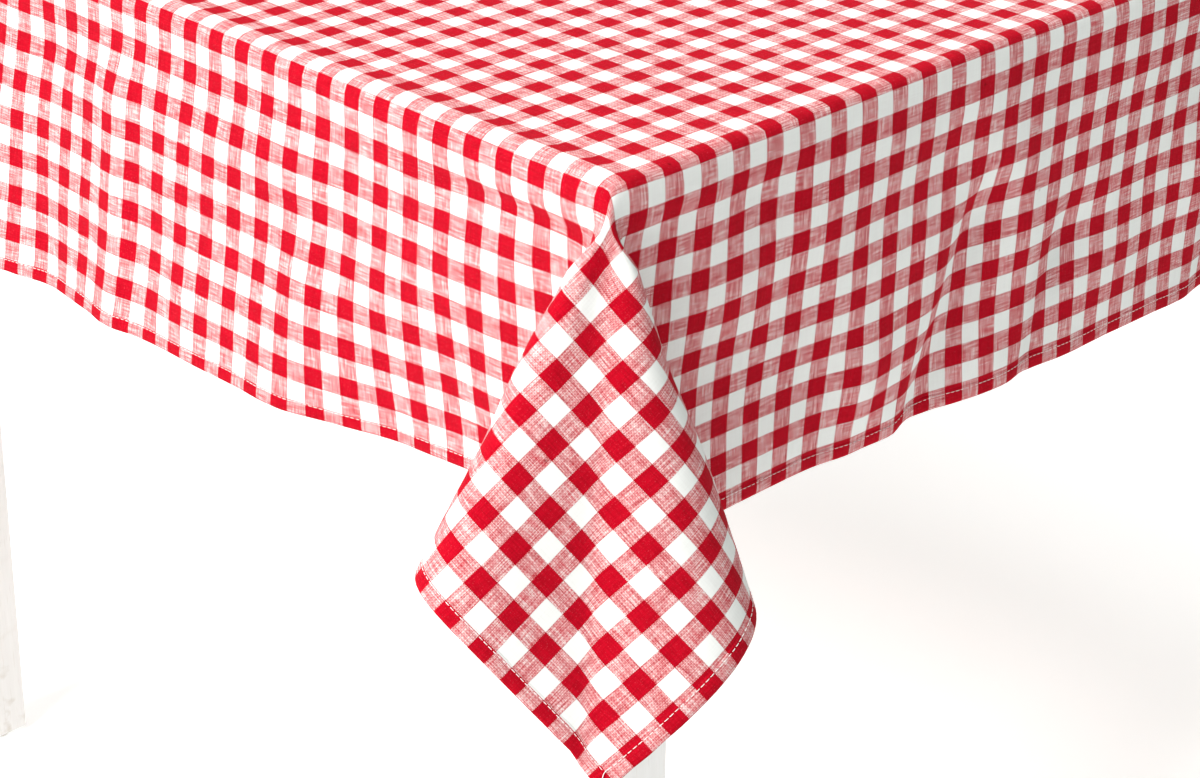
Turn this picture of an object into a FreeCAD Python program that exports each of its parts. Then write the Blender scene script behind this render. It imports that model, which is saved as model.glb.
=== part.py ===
"""Square wooden table with a loose gingham tablecloth laid over it.

Millimetres. The origin is on the floor under the middle of the table and +Z is up. Left is -X, right is
+X, front is -Y and back is +Y. The cloth is one sheet. It is built here as thin panels that meet edge to
edge: one flat panel on the table, four drops that bend over the edges, and a hanging fold at each corner.
"""
import FreeCAD, Part
import math
import os

Vector = FreeCAD.Vector

# Table top
TABLE_HEIGHT = 750.0
TOP_SIDE = 850.0
TOP_THICKNESS = 22.0
TOP_CORNER_RADIUS = 20.0
TOP_EDGE_RADIUS = 9.0
TOP_UNDER_EDGE_RADIUS = 3.0

# Legs
LEG_SIDE = 50.0
LEG_FOOT_SIDE = 36.0
LEG_INSET = 28.0
LEG_SQUARE_LENGTH = 100.0
LEG_INNER_CHAMFER = 14.0
LEG_EDGE_CHAMFER = 2.0

# Aprons, the rails that join the legs under the top
APRON_HEIGHT = 70.0
APRON_THICKNESS = 18.0
APRON_SETBACK = 5.0
APRON_EDGE_CHAMFER = 1.5
DOWEL_RADIUS = 4.0
DOWEL_LENGTH = 30.0
DOWEL_SPACING = 36.0

# Steel corner brackets, each pulled towards its leg by a hanger bolt
PLATE_THICKNESS = 2.0
BRACKET_HEIGHT = 50.0
BRACKET_GAP = 36.0
BRACKET_FLANGE = 32.0
BOLT_RADIUS = 4.0
BOLT_IN_LEG = 40.0
BOLT_FREE_END = 16.0
WASHER_RADIUS = 9.0
WASHER_THICKNESS = 1.6
NUT_RADIUS = 6.5
NUT_HEIGHT = 6.0
WING_REACH = 15.0
WING_HEIGHT = 13.0
WING_THICKNESS = 2.4

# Angle clips that hold the top down
CLIP_WIDTH = 20.0
CLIP_LEG = 24.0
CLIP_OFFSETS = (-190.0, 190.0)
SCREW_RADIUS = 2.0
SCREW_LENGTH = 14.0
SCREW_HEAD_RADIUS = 4.0
SCREW_HEAD_HEIGHT = 2.2

# Glides under the feet
GLIDE_RADIUS = 13.0
GLIDE_THICKNESS = 5.0
GLIDE_EDGE = 1.2
GLIDE_PIN_RADIUS = 1.5
GLIDE_PIN_LENGTH = 16.0

# Tablecloth: a square sheet, hemmed, that lies a little off the middle of the table
CLOTH_SIDE = 1300.0
CLOTH_SHIFT_X = 8.0
CLOTH_SHIFT_Y = -12.0
CLOTH_THICKNESS = 1.0
CLOTH_GAP = 0.3
# Shape of a corner fold for each millimetre of hang below the corner: how far its two side edges stand
# out sideways and forward, how far its middle stands forward, and where it turns back to the drops. All
# four folds have the same plan, that of a drop of the nominal length, and each has its own drops' lengths.
# The side angle is that of the cloth between a side edge and the drop beside it, and the top spread is the
# part of the table's rounded corner that the fold's face hangs from, both in degrees
FOLD_NOMINAL_DROP = 220.0
FOLD_SIDE_OUT = 0.38
FOLD_SIDE_FORWARD = 0.20
FOLD_MIDDLE_FORWARD = 0.31
FOLD_RETURN = 0.24
FOLD_SIDE_ANGLE = 15.0
FOLD_TOP_SPREAD = 80.0
FOLD_STEPS = 8
# Longest mitre at the fold's sharp side edges, as the cosine of half the turn
FOLD_MITRE_LIMIT = 0.4

# Two corners of an edge closer than this count as the same place
SAME_PLACE = 1e-6

HALF_TOP = TOP_SIDE / 2
UNDER_TOP = TABLE_HEIGHT - TOP_THICKNESS
LEG_OUTER = HALF_TOP - LEG_INSET
LEG_INNER = LEG_OUTER - LEG_SIDE
LEG_CENTRE = LEG_OUTER - LEG_SIDE / 2
APRON_OUTER = LEG_OUTER - APRON_SETBACK
APRON_INNER = APRON_OUTER - APRON_THICKNESS
APRON_BOTTOM = UNDER_TOP - APRON_HEIGHT
APRON_MIDDLE = UNDER_TOP - APRON_HEIGHT / 2
CORNER_CENTRE = HALF_TOP - TOP_CORNER_RADIUS
BEND_RADIUS = TOP_EDGE_RADIUS + CLOTH_GAP
BEND_CENTRE_Z = TABLE_HEIGHT - TOP_EDGE_RADIUS
CLOTH_UNDER = TABLE_HEIGHT + CLOTH_GAP

# Each side's name and the angle that turns the front side (-Y) to it, then the corners in the same way
SIDES = {"front": 0, "right": 90, "back": 180, "left": 270}
CORNERS = {"front_left": 0, "front_right": 90, "back_right": 180, "back_left": 270}
# The sides that meet at each corner: the one that the corner's fold leaves first, going anticlockwise
CORNER_SIDES = {
    "front_left": ("left", "front"),
    "front_right": ("front", "right"),
    "back_right": ("right", "back"),
    "back_left": ("back", "left"),
}

parts = {}


def box(low, high):
    """Axis-aligned box between two corners."""
    size = [b - a for a, b in zip(low, high)]
    return Part.makeBox(*size, Vector(*low))


def cylinder(radius, length, start, direction):
    return Part.makeCylinder(radius, length, Vector(*start), Vector(*direction))


def turned(shape, degrees):
    """Copy of a shape turned about the table's upright axis."""
    copy = shape.copy()
    copy.rotate(Vector(0, 0, 0), Vector(0, 0, 1), degrees)
    return copy


def rounded_square(half, radius, bottom, height):
    """Upright square block with rounded corners in plan."""
    block = box((-half, -half, bottom), (half, half, bottom + height))
    upright = [e for e in block.Edges if abs(e.Vertexes[0].Z - e.Vertexes[1].Z) > height / 2]
    return block.makeFillet(radius, upright)


def edges_at_height(shape, height):
    return [e for e in shape.Edges if all(abs(v.Z - height) < SAME_PLACE for v in e.Vertexes)]


def screw(head_seat, direction):
    """Pan-head screw: the seat under its head, and the way its shank points."""
    shank = cylinder(SCREW_RADIUS, SCREW_LENGTH, head_seat, direction)
    back = [-c for c in direction]
    head = cylinder(SCREW_HEAD_RADIUS, SCREW_HEAD_HEIGHT, head_seat, back)
    return shank.fuse(head)


# --- fasteners of one corner and one side, in the front-left corner and on the front side -------------------


def diagonal_point(distance, sideways=0.0, height=APRON_MIDDLE):
    """Point at the front-left corner: its distance from the table's axis along the diagonal, and sideways."""
    return Vector(-(distance + sideways) / math.sqrt(2), -(distance - sideways) / math.sqrt(2), height)


OUTWARD = Vector(-1 / math.sqrt(2), -1 / math.sqrt(2), 0)
INWARD = OUTWARD * -1
CHAMFER_DISTANCE = LEG_INNER * math.sqrt(2) + LEG_INNER_CHAMFER / math.sqrt(2)
PLATE_OUTER = CHAMFER_DISTANCE - BRACKET_GAP
PLATE_INNER = PLATE_OUTER - PLATE_THICKNESS
NUT_SEAT = PLATE_INNER - WASHER_THICKNESS


def corner_bolt():
    length = BOLT_IN_LEG + BRACKET_GAP + PLATE_THICKNESS + WASHER_THICKNESS + BOLT_FREE_END
    return Part.makeCylinder(BOLT_RADIUS, length, diagonal_point(CHAMFER_DISTANCE + BOLT_IN_LEG), INWARD)


def corner_washer():
    disc = Part.makeCylinder(WASHER_RADIUS, WASHER_THICKNESS, diagonal_point(PLATE_INNER), INWARD)
    return disc.cut(corner_bolt())


def corner_wing_nut():
    """Wing nut: a round boss with two flat wings that lean back from the plate."""
    boss = Part.makeCylinder(NUT_RADIUS, NUT_HEIGHT, diagonal_point(NUT_SEAT), INWARD)
    outline = [(-NUT_RADIUS, 1.0), (-WING_REACH, WING_HEIGHT * 0.55), (-WING_REACH, WING_HEIGHT)]
    outline += [(-WING_REACH * 0.6, WING_HEIGHT), (0.0, NUT_HEIGHT * 0.8)]
    outline += [(-s, r) for s, r in reversed(outline[:-1])]
    points = [
        diagonal_point(NUT_SEAT - rise, 0.0, APRON_MIDDLE - WING_THICKNESS / 2)
        + Vector(-side / math.sqrt(2), side / math.sqrt(2), 0)
        for side, rise in outline
    ]
    face = Part.Face(Part.makePolygon(points + points[:1]))
    wings = face.extrude(Vector(0, 0, WING_THICKNESS))
    return boss.fuse(wings).removeSplitter().cut(corner_bolt())


def bracket_screws():
    """Screws of one corner bracket: two through each flange."""
    screws = []
    flange_seat = APRON_INNER - PLATE_THICKNESS
    for rise in (-BRACKET_HEIGHT / 4, BRACKET_HEIGHT / 4):
        along = bracket_flange_start() - BRACKET_FLANGE / 2 - PLATE_THICKNESS
        height = APRON_MIDDLE + rise
        screws.append(screw((-flange_seat, -along, height), (-1, 0, 0)))
        screws.append(screw((-along, -flange_seat, height), (0, -1, 0)))
    return screws


def bracket_flange_start():
    """Distance from the table's axis, along an apron, where the bracket's flange begins."""
    return PLATE_INNER * math.sqrt(2) - APRON_INNER


def corner_bracket():
    """Steel bracket across a corner: a plate square to the diagonal, and a flange on each apron."""
    inner = APRON_INNER
    start = bracket_flange_start()
    end = start - BRACKET_FLANGE
    plate = PLATE_THICKNESS
    outer_start = PLATE_OUTER * math.sqrt(2) - inner
    outline = [
        (inner, end),
        (inner, outer_start),
        (outer_start, inner),
        (end, inner),
        (end, inner - plate),
        (start + plate, inner - plate),
        (inner - plate, start + plate),
        (inner - plate, end),
    ]
    bottom = APRON_MIDDLE - BRACKET_HEIGHT / 2
    points = [Vector(-x, -y, bottom) for x, y in outline]
    body = Part.Face(Part.makePolygon(points + points[:1])).extrude(Vector(0, 0, BRACKET_HEIGHT))
    return body.cut(corner_bolt()).cut(Part.makeCompound(bracket_screws()))


def side_dowels():
    """Dowels at both ends of the front apron, half in the apron and half in the leg."""
    dowels = []
    middle_y = -(APRON_OUTER + APRON_INNER) / 2
    for end in (-1, 1):
        for rise in (-DOWEL_SPACING / 2, DOWEL_SPACING / 2):
            start = (end * (LEG_INNER - DOWEL_LENGTH / 2), middle_y, APRON_MIDDLE + rise)
            dowels.append(cylinder(DOWEL_RADIUS, DOWEL_LENGTH, start, (end, 0, 0)))
    return dowels


def clip_apron_screw(offset):
    seat = (offset, -APRON_INNER + PLATE_THICKNESS, UNDER_TOP - CLIP_LEG / 2 - PLATE_THICKNESS / 2)
    return screw(seat, (0, -1, 0))


def clip_top_screw(offset):
    seat = (offset, -APRON_INNER + CLIP_LEG / 2 + PLATE_THICKNESS / 2, UNDER_TOP - PLATE_THICKNESS)
    return screw(seat, (0, 0, 1))


def top_clip(offset):
    """Steel angle: one leg on the apron's inner face, the other under the table top."""
    left, right = offset - CLIP_WIDTH / 2, offset + CLIP_WIDTH / 2
    face_y = -APRON_INNER
    upright = box((left, face_y, UNDER_TOP - CLIP_LEG), (right, face_y + PLATE_THICKNESS, UNDER_TOP))
    flat = box((left, face_y, UNDER_TOP - PLATE_THICKNESS), (right, face_y + CLIP_LEG, UNDER_TOP))
    angle = upright.fuse(flat).removeSplitter()
    return angle.cut(clip_apron_screw(offset)).cut(clip_top_screw(offset))


def corner_glide():
    """Nylon glide with a nail, under the front-left leg."""
    foot = leg_foot_centre()
    disc = cylinder(GLIDE_RADIUS, GLIDE_THICKNESS, (-foot, -foot, 0), (0, 0, 1))
    disc = disc.makeFillet(GLIDE_EDGE, edges_at_height(disc, 0))
    pin = cylinder(GLIDE_PIN_RADIUS, GLIDE_PIN_LENGTH, (-foot, -foot, GLIDE_THICKNESS), (0, 0, 1))
    return disc.fuse(pin)


# --- wooden pieces -----------------------------------------------------------------------------------------


def leg_foot_centre():
    """The taper is on the leg's two inner faces, so the foot keeps to the outer corner."""
    return LEG_OUTER - LEG_FOOT_SIDE / 2


def table_top():
    top = rounded_square(HALF_TOP, TOP_CORNER_RADIUS, UNDER_TOP, TOP_THICKNESS)
    top = top.makeFillet(TOP_EDGE_RADIUS, edges_at_height(top, TABLE_HEIGHT))
    top = top.makeFillet(TOP_UNDER_EDGE_RADIUS, edges_at_height(top, UNDER_TOP))
    for degrees in SIDES.values():
        for offset in CLIP_OFFSETS:
            top = top.cut(turned(clip_top_screw(offset), degrees))
    return top


def square_wire(outer, side, height):
    near = -outer + side
    corners = [(-outer, -outer), (near, -outer), (near, near), (-outer, near)]
    points = [Vector(x, y, height) for x, y in corners]
    return Part.makePolygon(points + points[:1])


def leg():
    """Front-left leg: square where the aprons meet it, then tapered to the foot."""
    shoulder = UNDER_TOP - LEG_SQUARE_LENGTH
    upper = box((-LEG_OUTER, -LEG_OUTER, shoulder), (-LEG_INNER, -LEG_INNER, UNDER_TOP))
    foot_wire = square_wire(LEG_OUTER, LEG_FOOT_SIDE, GLIDE_THICKNESS)
    lower = Part.makeLoft([foot_wire, square_wire(LEG_OUTER, LEG_SIDE, shoulder)], True, True)
    post = upper.fuse(lower)
    cutter_wire = [(-LEG_INNER, -LEG_INNER), (-LEG_INNER - LEG_INNER_CHAMFER, -LEG_INNER)]
    cutter_wire += [(-LEG_INNER, -LEG_INNER - LEG_INNER_CHAMFER)]
    points = [Vector(x, y, shoulder) for x, y in cutter_wire]
    cutter = Part.Face(Part.makePolygon(points + points[:1])).extrude(Vector(0, 0, LEG_SQUARE_LENGTH))
    post = post.cut(cutter)
    outer_edges = [
        e for e in post.Edges
        if all(abs(v.X + LEG_OUTER) + abs(v.Y + LEG_OUTER) < SAME_PLACE for v in e.Vertexes)
    ]
    post = post.makeChamfer(LEG_EDGE_CHAMFER, outer_edges)
    post = post.cut(corner_bolt()).cut(corner_glide())
    # the dowels of the front apron, and those of the left apron
    for dowel in side_dowels():
        post = post.cut(dowel).cut(turned(dowel, SIDES["left"]))
    return post


def apron():
    """Front apron, with its holes for dowels and screws."""
    board = box((-LEG_INNER, -APRON_OUTER, APRON_BOTTOM), (LEG_INNER, -APRON_INNER, UNDER_TOP))
    bottom_edges = edges_at_height(board, APRON_BOTTOM)
    long_edges = [e for e in bottom_edges if abs(e.Vertexes[0].Y - e.Vertexes[1].Y) < SAME_PLACE]
    board = board.makeChamfer(APRON_EDGE_CHAMFER, long_edges)
    cutters = side_dowels() + [clip_apron_screw(offset) for offset in CLIP_OFFSETS]
    cutters += bracket_screws() + [turned(s, SIDES["right"]) for s in bracket_screws()]
    return board.cut(Part.makeCompound(cutters))


# --- tablecloth --------------------------------------------------------------------------------------------


def drop_length(side):
    """Length of the straight, hanging part of the cloth on one side, below the bend over the table's edge."""
    shift = {"front": -CLOTH_SHIFT_Y, "back": CLOTH_SHIFT_Y, "left": -CLOTH_SHIFT_X, "right": CLOTH_SHIFT_X}
    bend = math.pi / 2 * (BEND_RADIUS + CLOTH_THICKNESS / 2)
    return CLOTH_SIDE / 2 + shift[side] - (HALF_TOP - TOP_EDGE_RADIUS) - bend


def cloth_top_panel():
    """The flat part on the table, as far as the start of the bends."""
    half = HALF_TOP - TOP_EDGE_RADIUS
    return rounded_square(half, TOP_CORNER_RADIUS - TOP_EDGE_RADIUS, CLOTH_UNDER, CLOTH_THICKNESS)


def bend_profile(radial):
    """Closed outline of the bend over an edge, as a ring sector. radial maps (outward, height) to a point."""
    outer = BEND_RADIUS + CLOTH_THICKNESS

    def quarter_arc(radius):
        middle = radius * math.sqrt(0.5)
        return Part.Arc(radial(0.0, radius), radial(middle, middle), radial(radius, 0.0)).toShape()

    edges = [
        quarter_arc(BEND_RADIUS),
        Part.LineSegment(radial(BEND_RADIUS, 0.0), radial(outer, 0.0)).toShape(),
        quarter_arc(outer),
        Part.LineSegment(radial(0.0, outer), radial(0.0, BEND_RADIUS)).toShape(),
    ]
    return Part.Face(Part.Wire(Part.__sortEdges__(edges)))


def cloth_drop(side):
    """One side of the cloth, as on the front: the bend over the edge and the hanging panel below it.

    The panel narrows towards the hem, because the corner folds turn back behind its two ends.
    """

    def radial(outward, height):
        return Vector(-CORNER_CENTRE, -(HALF_TOP - TOP_EDGE_RADIUS) - outward, BEND_CENTRE_Z + height)

    bend = bend_profile(radial).extrude(Vector(2 * CORNER_CENTRE, 0, 0))
    length = drop_length(side)
    near = -(HALF_TOP + CLOTH_GAP)
    far = near - CLOTH_THICKNESS
    hem_end = HALF_TOP + CLOTH_GAP - RETURN_OFFSET
    outline = [
        (-CORNER_CENTRE, BEND_CENTRE_Z),
        (CORNER_CENTRE, BEND_CENTRE_Z),
        (hem_end, BEND_CENTRE_Z - length),
        (-hem_end, BEND_CENTRE_Z - length),
    ]
    points = [Vector(x, far, z) for x, z in outline]
    panel = Part.Face(Part.makePolygon(points + points[:1])).extrude(Vector(0, near - far, 0))
    return turned(bend.fuse(panel).removeSplitter(), SIDES[side])


RETURN_OFFSET = FOLD_RETURN * FOLD_NOMINAL_DROP * math.sqrt(2)


def fold_direction(position):
    """Sideways and forward reach of a corner fold for each millimetre of hang, at -1 to 1 across its face."""
    forward = FOLD_MIDDLE_FORWARD - (FOLD_MIDDLE_FORWARD - FOLD_SIDE_FORWARD) * position**2
    return FOLD_SIDE_OUT * position, forward


def fold_sections(first_length, second_length):
    """Inner edge lines of a front-left corner fold, each from its top point to its point on the hem.

    They go from the left drop, out to the fold's left side edge, across its face and back to the front drop.
    """
    corner = HALF_TOP + CLOTH_GAP
    arc_radius = TOP_CORNER_RADIUS + CLOTH_GAP
    lines = []

    def add(angle, sideways, forward, reach, drop):
        # the top point is on the rounded corner under the bend, the bottom point on the hem
        turn = math.radians(angle)
        top_x = -CORNER_CENTRE - arc_radius * math.cos(turn)
        top_y = -CORNER_CENTRE - arc_radius * math.sin(turn)
        out_x = (forward - sideways) * reach / math.sqrt(2)
        out_y = (forward + sideways) * reach / math.sqrt(2)
        bottom = Vector(-corner - out_x, -corner - out_y, BEND_CENTRE_Z - drop)
        lines.append((Vector(top_x, top_y, BEND_CENTRE_Z), bottom))

    add(0.0, -FOLD_RETURN, -FOLD_RETURN, FOLD_NOMINAL_DROP, first_length)
    for step in range(FOLD_STEPS + 1):
        position = 2.0 * step / FOLD_STEPS - 1.0
        across = math.radians(45.0 + (45.0 - FOLD_SIDE_ANGLE) * position)
        nominal = FOLD_NOMINAL_DROP / max(math.cos(across), math.sin(across))
        hang = min(first_length / math.cos(across), second_length / math.sin(across))
        sideways, forward = fold_direction(position)
        drop = math.sqrt(hang**2 - nominal**2 * (sideways**2 + forward**2))
        add(45.0 + FOLD_TOP_SPREAD / 2 * position, sideways, forward, nominal, drop)
    add(90.0, FOLD_RETURN, -FOLD_RETURN, FOLD_NOMINAL_DROP, second_length)
    return lines


def thickness_directions(lines):
    """Level outward direction at each line, square to the fold between its neighbours, scaled to a mitre."""
    middles = [(top + bottom) * 0.5 for top, bottom in lines]
    steps = []
    for a, b in zip(middles, middles[1:]):
        step = b - a
        step.z = 0
        steps.append(step.normalize())
    normals = [Vector(s.y, -s.x, 0) for s in steps]
    result = []
    for k in range(len(lines)):
        before = normals[max(k - 1, 0)]
        after = normals[min(k, len(normals) - 1)]
        middle = (before + after).normalize()
        result.append(middle * (CLOTH_THICKNESS / max(middle.dot(before), FOLD_MITRE_LIMIT)))
    return result


def corner_fold(corner):
    """Cloth over one corner: a rounded cap over the table's corner, and the fold that hangs from it."""
    first, second = CORNER_SIDES[corner]
    lines = fold_sections(drop_length(first), drop_length(second))
    outward = thickness_directions(lines)
    # the end lines lie on the drops, so they keep to the drops' own directions
    outward[0] = Vector(-CLOTH_THICKNESS, 0, 0)
    outward[-1] = Vector(0, -CLOTH_THICKNESS, 0)
    wires = []
    for (top, bottom), out in zip(lines, outward):
        wires.append(Part.makePolygon([top, bottom, bottom + out, top + out, top]))
    fold = Part.makeLoft(wires, True, True)
    if fold.Volume < 0:
        fold.reverse()

    def radial(outward_reach, height):
        reach = TOP_CORNER_RADIUS - TOP_EDGE_RADIUS + outward_reach
        return Vector(-CORNER_CENTRE - reach, -CORNER_CENTRE, BEND_CENTRE_Z + height)

    axis_point = Vector(-CORNER_CENTRE, -CORNER_CENTRE, 0)
    cap = bend_profile(radial).revolve(axis_point, Vector(0, 0, 1), 90)
    return turned(fold, CORNERS[corner]), turned(cap, CORNERS[corner])


# --- assembly ----------------------------------------------------------------------------------------------

parts["table_top"] = table_top()
for name, degrees in SIDES.items():
    parts["apron_" + name] = turned(apron(), degrees)
    for number, offset in enumerate(CLIP_OFFSETS, 1):
        parts["top_clip_%s_%d" % (name, number)] = turned(top_clip(offset), degrees)
for name, degrees in CORNERS.items():
    parts["leg_" + name] = turned(leg(), degrees)
    parts["corner_bracket_" + name] = turned(corner_bracket(), degrees)
    parts["glide_" + name] = turned(corner_glide(), degrees)


def all_round(shapes):
    """The same fasteners at all four corners or sides, as one group of separate solids."""
    return Part.makeCompound([turned(shape, degrees) for degrees in SIDES.values() for shape in shapes])


parts["apron_dowels"] = all_round(side_dowels())
parts["hanger_bolts"] = all_round([corner_bolt()])
parts["bolt_washers"] = all_round([corner_washer()])
parts["wing_nuts"] = all_round([corner_wing_nut()])
parts["bracket_screws"] = all_round(bracket_screws())
parts["clip_apron_screws"] = all_round([clip_apron_screw(offset) for offset in CLIP_OFFSETS])
parts["clip_top_screws"] = all_round([clip_top_screw(offset) for offset in CLIP_OFFSETS])

parts["cloth_top_panel"] = cloth_top_panel()
for name in SIDES:
    parts["cloth_drop_" + name] = cloth_drop(name)
for name in CORNERS:
    fold, cap = corner_fold(name)
    parts["cloth_corner_fold_" + name] = fold
    parts["cloth_corner_cap_" + name] = cap

os.makedirs("parts", exist_ok=True)
for name, shape in parts.items():
    print("%-34s valid %s solids %d volume %.0f" % (name, shape.isValid(), len(shape.Solids), shape.Volume))
    shape.exportStep("parts/%s.step" % name)
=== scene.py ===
"""A checked gingham tablecloth draped over a square wooden table.

Everything is in metres, in the table's own frame: left is -X, front is -Y and +Z is up. The cloth is one square
sheet. It starts as an unstretched shape that lies flat on the top and runs down each corner as a cone. A short
cloth simulation then moves it a few millimetres, and creases are added by formula. Its hems and seams are laid on
along its edges.
"""
import math
import bmesh
import bpy
import numpy as np
from mathutils import Matrix, Vector


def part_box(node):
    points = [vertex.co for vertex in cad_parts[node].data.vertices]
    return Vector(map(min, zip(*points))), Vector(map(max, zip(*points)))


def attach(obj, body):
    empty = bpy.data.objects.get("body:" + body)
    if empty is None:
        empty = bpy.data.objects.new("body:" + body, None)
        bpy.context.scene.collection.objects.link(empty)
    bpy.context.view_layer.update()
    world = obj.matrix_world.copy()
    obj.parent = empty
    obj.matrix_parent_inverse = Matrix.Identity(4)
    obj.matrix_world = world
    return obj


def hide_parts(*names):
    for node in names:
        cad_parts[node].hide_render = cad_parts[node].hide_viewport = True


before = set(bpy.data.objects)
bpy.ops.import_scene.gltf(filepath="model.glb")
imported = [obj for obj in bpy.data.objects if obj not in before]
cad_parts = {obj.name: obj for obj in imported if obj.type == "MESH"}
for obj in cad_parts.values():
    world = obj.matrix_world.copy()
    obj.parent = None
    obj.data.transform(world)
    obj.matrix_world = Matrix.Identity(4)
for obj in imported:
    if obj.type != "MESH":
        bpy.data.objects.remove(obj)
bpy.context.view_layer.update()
scene = bpy.context.scene

MM = 0.001
SIDES = ("front", "right", "back", "left")
CORNERS = ("front_left", "front_right", "back_right", "back_left")
WEAVE_MAP = "weave"

# --- sizes read from the frame -----------------------------------------------------------------------------

top_low, top_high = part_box("table_top")
HALF_TOP = top_high.x
TABLE_TOP = top_high.z
TOP_UNDERSIDE = top_low.z
LEGS_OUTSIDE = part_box("leg_back_right")[1].x
HEM_HEIGHT = {side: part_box("cloth_drop_" + side)[0].z for side in SIDES}
SHIFT_X = (HEM_HEIGHT["left"] - HEM_HEIGHT["right"]) / 2
SHIFT_Y = (HEM_HEIGHT["front"] - HEM_HEIGHT["back"]) / 2

# --- the cloth ---------------------------------------------------------------------------------------------

CLOTH_SIDE = 1.300
CHECK = 13 * MM
REPEAT = 2 * CHECK
# Centres of the first coloured stripes, from the cloth's left and front edges
FIRST_STRIPE_LEFT = 2.6 * MM
FIRST_STRIPE_FRONT = 6.5 * MM
THREADS_PER_REPEAT = 44

# Cells along each side of the cloth's grid in the simulation: the finished grid has twice as many
CELLS = 120
# Height of the cloth's middle surface above the table's top
LIE = 1.0 * MM
# Roundings of the table's top, seen from above and in section, and of the square that the legs stand in
TOP_CORNER = 20 * MM
TOP_EDGE = 9 * MM
LEGS_CORNER = 8 * MM
# Least gap that the easing aims for outside the legs, and how gradual the easing is
LEG_GAP = 2.5 * MM
EASING = 2.5 * MM
CLEARING_PASSES = 4
SLOPE_PROBE = 0.1 * MM

# Half of a corner's fold, as bends of the cloth seen from the corner: where each bend is, in degrees of cloth
# round the corner from the table's edge, how far it turns and how wide it is. Outward turns are positive: the
# cloth dips under the edge, swings out to the fold's side edge, and doubles back across its face
FOLD_LEFT = ((33.0, -17.2, 4.0), (73.7, 95.0, 10.6), (110.8, -134.3, 8.0), (118.0, -12.0, 8.0))
FOLD_RIGHT = ((26.9, -12.6, 4.7), (86.2, 145.5, 8.0), (106.1, -137.5, 11.2), (118.0, -39.8, 8.0))
# Lean of the drops where they meet the corner, in radians
LEAN_LEFT = 0.14
LEAN_RIGHT = 0.06
# Where the cone's tip is: in from the table's two edges, and down
FOLD_APEX_IN = (10.4 * MM, 11.7 * MM)
FOLD_APEX_DOWN = 7.3 * MM
# The cloth follows the table's edge at first, and the corner's cone from this far down, and later further from it
CONE_START = (0.004, 0.05)
CONE_SPREAD = 0.9
# The cone gives way to the plain drops between these distances from the corner
CONE_END = (0.17, 0.36)
# The cone's tip moves to its own place over this much reach
APEX_FADE = (0.0, 0.20)
CURVE_STEP = math.radians(1.0)
# Steps of cloth in half of a corner's curve, and the step from which the gap between the halves is shared
HALF_CURVE = 135
GAP_SHARED_FROM = 60
# Lean of each drop at the middle of its side, in radians, and how far down the drops reach that lean
DROP_LEAN = {"left": 0.15, "right": 0.12, "front": -0.02, "back": 0.06}
LEAN_FADE = 0.08
# Cloth further than this inside the table's edge is held still in the simulation
PINNED_MARGIN = 0.012
# The run is short, under weak gravity, and only this share of its movement is used: a longer one loses the fold
SIM_FRAMES = 7
SIM_GRAVITY = 0.2
SETTLED_SHARE = 0.5
# The right-hand corners swing out a little less than the left-hand ones
SWING = {-1: 1.0, 1: 0.97}


def smoothstep(low, high, x):
    t = np.clip((x - low) / (high - low), 0.0, 1.0)
    return t * t * (3 - 2 * t)


def curve_on_sphere(start, heading, outward_sign, bends):
    """Directions of the cloth seen from a corner, one for each step of cloth, as a unit-speed curve."""
    direction, heading = np.array(start, float), np.array(heading, float)
    directions = [direction]
    for k in range(HALF_CURVE):
        angle = k + 0.5
        turn = sum(t / (w * math.sqrt(math.pi)) * math.exp(-((angle - c) / w) ** 2) for c, t, w in bends)
        turn *= CURVE_STEP * outward_sign
        side = np.cross(direction, heading)
        heading = heading * math.cos(turn) + side * math.sin(turn)
        direction, heading = (
            direction * math.cos(CURVE_STEP) + heading * math.sin(CURVE_STEP),
            heading * math.cos(CURVE_STEP) - direction * math.sin(CURVE_STEP),
        )
        directions.append(direction)
    return np.array(directions)


def fold_directions(first, second, first_lean, second_lean):
    """The whole curve of a front-left corner: 270 degrees of cloth from the left edge round to the front one."""
    left = curve_on_sphere((0, 1, 0), (-math.sin(first_lean), 0, -math.cos(first_lean)), 1, first)
    right = curve_on_sphere((1, 0, 0), (0, -math.sin(second_lean), -math.cos(second_lean)), -1, second)
    # the two halves nearly meet in the middle of the face: share what is left between them
    gap = right[-1] - left[-1]
    share = smoothstep(GAP_SHARED_FROM, HALF_CURVE, np.arange(HALF_CURVE + 1))[:, None] * 0.5
    both = np.vstack([left + gap * share, (right - gap * share)[::-1][1:]])
    return both / np.linalg.norm(both, axis=1)[:, None]


def over_the_edge(flat):
    """How far out and how far down cloth goes that would lie flat this far from the table's middle."""
    radius = TOP_EDGE + LIE
    quarter = math.pi / 2 * radius
    past = np.maximum(np.abs(flat) - (HALF_TOP - TOP_EDGE), 0.0)
    angle = np.minimum(past, quarter) / radius
    out = np.minimum(np.abs(flat), HALF_TOP - TOP_EDGE) + radius * np.sin(angle)
    down = radius * (1 - np.cos(angle)) + np.maximum(past - quarter, 0.0)
    return out, down


def cone(x, y, directions):
    """Places cloth round a front-left corner. x and y are measured outward from the corner, over the edges."""
    angle = np.degrees(np.arctan2(x, -y)) % 360
    reach = np.hypot(x, y)
    place = np.clip(angle, 0, 2 * HALF_CURVE - 1e-6)
    k = np.floor(place).astype(int)
    part = (place - k)[..., None]
    d = directions[k] * (1 - part) + directions[k + 1] * part
    apex = np.array([FOLD_APEX_IN[0], FOLD_APEX_IN[1], -FOLD_APEX_DOWN])
    return apex * smoothstep(APEX_FADE[0], APEX_FADE[1], reach)[..., None] + d * reach[..., None]


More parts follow.
